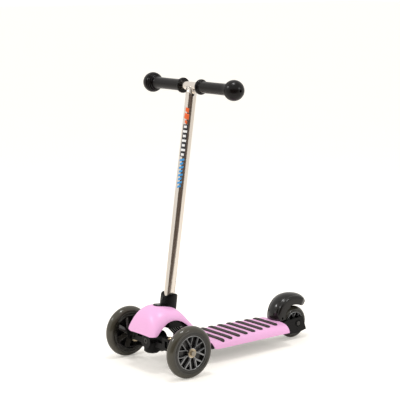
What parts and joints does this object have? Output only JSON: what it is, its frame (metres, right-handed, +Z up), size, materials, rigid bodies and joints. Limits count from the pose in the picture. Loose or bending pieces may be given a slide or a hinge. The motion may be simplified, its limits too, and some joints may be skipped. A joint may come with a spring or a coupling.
{
  "type": "kick scooter",
  "caption": "Toddler kick scooter with a lean-to-steer front truck, a low moulded deck with rubber strips, a raked handlebar with ball-ended grips and a sprung rear foot brake.",
  "frame": {"origin": "on the ground, under the middle of the whole scooter, in its symmetry plane", "axes": "+Z up; the scooter rolls towards -Y; +X is the rider's left"},
  "size_m": [0.3466, 0.516, 0.6664],
  "materials": {
    "cover_plastic": "smooth moulded pink plastic, soft gloss",
    "black_plastic": "black glass-filled moulding with a fine texture",
    "truck_plastic": "charcoal moulding with a fine texture",
    "grip_rubber": "soft dark grey rubber with a satin sheen",
    "strip_rubber": "dull dark rubber",
    "tyre_rubber": "smooth dark polyurethane with a soft sheen",
    "brushed_alloy": "satin anodised tube",
    "rim_plastic": "black core with silver-painted spokes",
    "zinc_steel": "bright zinc plating",
    "black_steel": "blackened steel, slightly oiled",
    "yellow_zinc": "yellowish zinc plating",
    "bronze": "sintered bronze",
    "decal_film": "printed film with plain coloured bars"
  },
  "bodies": {
    "frame": {"stem_tube": "brushed_alloy", "crossbar": "brushed_alloy", "left_grip": "grip_rubber", "right_grip": "grip_rubber", "stem_decal": "decal_film", "lock_spring": "zinc_steel", "stem_socket": "black_plastic", "socket_screws": "black_steel", "deck_cover": "cover_plastic", "head_frame": "black_plastic", "under_deck": "black_plastic", "deck_screws": "zinc_steel", "grip_strip_1": "strip_rubber", "grip_strip_2": "strip_rubber", "grip_strip_3": "strip_rubber", "grip_strip_4": "strip_rubber", "grip_strip_5": "strip_rubber", "grip_strip_6": "strip_rubber", "grip_strip_7": "strip_rubber", "grip_strip_8": "strip_rubber", "steering_post": "truck_plastic", "post_screws": "black_steel", "lean_bush": "bronze", "rear_axle": "black_steel", "rear_axle_nut": "black_steel", "brake_pin": "black_steel", "brake_spring": "zinc_steel"},
    "lock_button": {"lock_button": "black_steel"},
    "truck": {"axle_beam": "truck_plastic", "lean_bolt": "black_steel", "lean_nut": "black_steel", "left_centring_spring": "zinc_steel", "right_centring_spring": "zinc_steel", "left_kingpin": "yellow_zinc", "right_kingpin": "yellow_zinc"},
    "tie_rod": {"tie_rod": "black_steel"},
    "left_knuckle": {"left_knuckle": "truck_plastic", "left_stub_axle": "zinc_steel", "left_axle_washer": "yellow_zinc", "left_tie_pin": "zinc_steel"},
    "left_wheel": {"left_tyre": "tyre_rubber", "left_rim": "rim_plastic", "left_bearings": "zinc_steel"},
    "right_knuckle": {"right_knuckle": "truck_plastic", "right_stub_axle": "zinc_steel", "right_axle_washer": "yellow_zinc", "right_tie_pin": "zinc_steel"},
    "right_wheel": {"right_tyre": "tyre_rubber", "right_rim": "rim_plastic", "right_bearings": "zinc_steel"},
    "rear_wheel": {"rear_tyre": "tyre_rubber", "rear_rim": "rim_plastic", "rear_bearings": "zinc_steel"},
    "rear_brake": {"rear_brake": "black_plastic", "brake_pad": "strip_rubber", "brake_screw": "black_steel"}
  },
  "joints": [
    {"name": "lean", "type": "hinge", "parent": "frame", "child": "truck", "pos_m": [0, -0.213, 0.066], "axis": [0, -1, 0], "range_deg": [-12, 12], "stiffness_Nm_per_rad": 30, "deforming": ["left_centring_spring", "right_centring_spring"]},
    {"name": "tie_rod_slide", "type": "slide", "parent": "truck", "child": "tie_rod", "axis": [-1, 0, 0], "range_m": [-0.006, 0.006]},
    {"name": "left_steer", "type": "hinge", "parent": "truck", "child": "left_knuckle", "pos_m": [0.068, -0.212, 0.068], "axis": [0, 0, 1], "range_deg": [-14, 14]},
    {"name": "right_steer", "type": "hinge", "parent": "truck", "child": "right_knuckle", "pos_m": [-0.068, -0.212, 0.068], "axis": [0, 0, 1], "range_deg": [-14, 14]},
    {"name": "left_wheel_spin", "type": "hinge", "parent": "left_knuckle", "child": "left_wheel", "pos_m": [0.1185, -0.198, 0.06], "axis": [1, 0, 0], "continuous": true},
    {"name": "right_wheel_spin", "type": "hinge", "parent": "right_knuckle", "child": "right_wheel", "pos_m": [-0.1185, -0.198, 0.06], "axis": [1, 0, 0], "continuous": true},
    {"name": "rear_wheel_spin", "type": "hinge", "parent": "frame", "child": "rear_wheel", "pos_m": [0, 0.218, 0.04], "axis": [1, 0, 0], "continuous": true},
    {"name": "brake_press", "type": "hinge", "parent": "frame", "child": "rear_brake", "pos_m": [0, 0.166, 0.06], "axis": [-1, 0, 0], "range_deg": [0, 4], "stiffness_Nm_per_rad": 8, "springref_deg": -2.86},
    {"name": "lock_button_press", "type": "slide", "parent": "frame", "child": "lock_button", "axis": [0, 0.9903, -0.1392], "range_m": [0, 0.004], "stiffness_N_per_m": 800, "springref_m": -0.002, "deforming": ["lock_spring"]}
  ],
  "couplings": [
    {"joint": "tie_rod_slide", "follows": "lean", "m_per_rad": 0.024},
    {"joint": "left_steer", "follows": "lean", "ratio": 1},
    {"joint": "right_steer", "follows": "lean", "ratio": 1}
  ]
}
